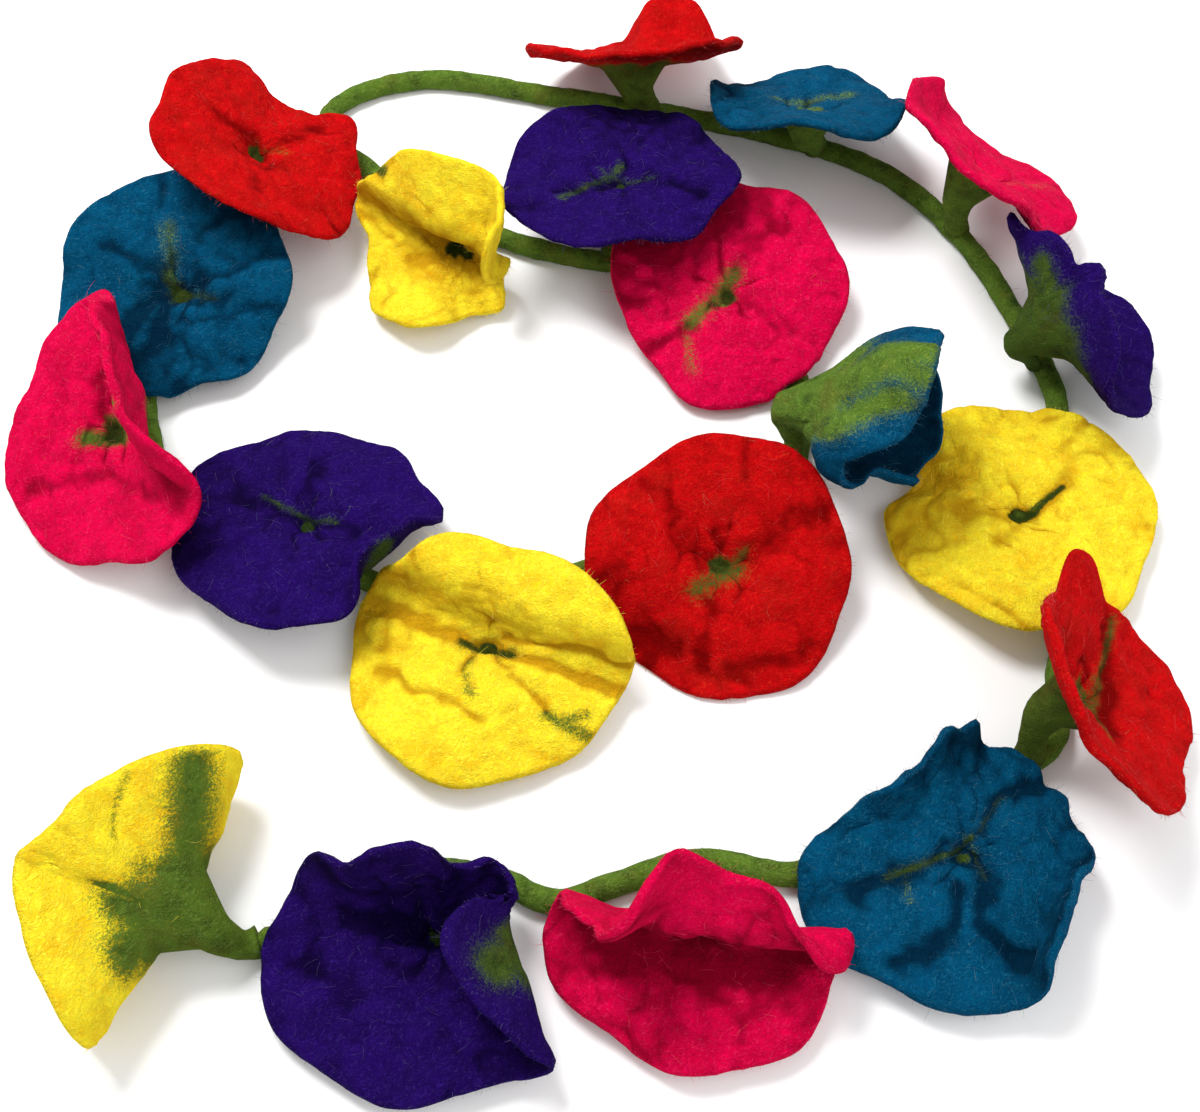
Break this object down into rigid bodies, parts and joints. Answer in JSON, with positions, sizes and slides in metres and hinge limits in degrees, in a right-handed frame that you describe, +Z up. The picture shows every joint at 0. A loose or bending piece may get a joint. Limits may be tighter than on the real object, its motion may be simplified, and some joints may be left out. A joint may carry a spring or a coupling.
{
  "type": "felt flower garland",
  "caption": "Wet-felted flowers in red, teal, pink, purple and yellow on one green felt cord, laid in a loose spiral on a surface.",
  "frame": {"origin": "on the surface that the garland lies on, under the middle of its outline", "axes": "+Z up from the surface, +X to the right and +Y away from the viewer, as in the picture"},
  "size_m": [0.4255, 0.4572, 0.0809],
  "materials": {
    "red_felt": "matte",
    "teal_felt": "matte",
    "pink_felt": "matte",
    "purple_felt": "matte",
    "yellow_felt": "matte",
    "green_felt": "matte"
  },
  "bodies": {
    "root": {"cord": "green_felt", "flower_01_red": "red_felt", "flower_02_teal": "teal_felt", "flower_03_pink": "pink_felt", "flower_04_purple": "purple_felt", "flower_05_yellow": "yellow_felt", "flower_06_red": "red_felt", "flower_07_teal": "teal_felt", "flower_08_pink": "pink_felt", "flower_09_purple": "purple_felt", "flower_10_yellow": "yellow_felt", "flower_11_red": "red_felt", "flower_12_teal": "teal_felt", "flower_13_pink": "pink_felt", "flower_14_purple": "purple_felt", "flower_15_yellow": "yellow_felt", "flower_16_red": "red_felt", "flower_17_teal": "teal_felt", "flower_18_pink": "pink_felt", "flower_19_purple": "purple_felt", "flower_20_yellow": "yellow_felt"}
  },
  "joints": []
}
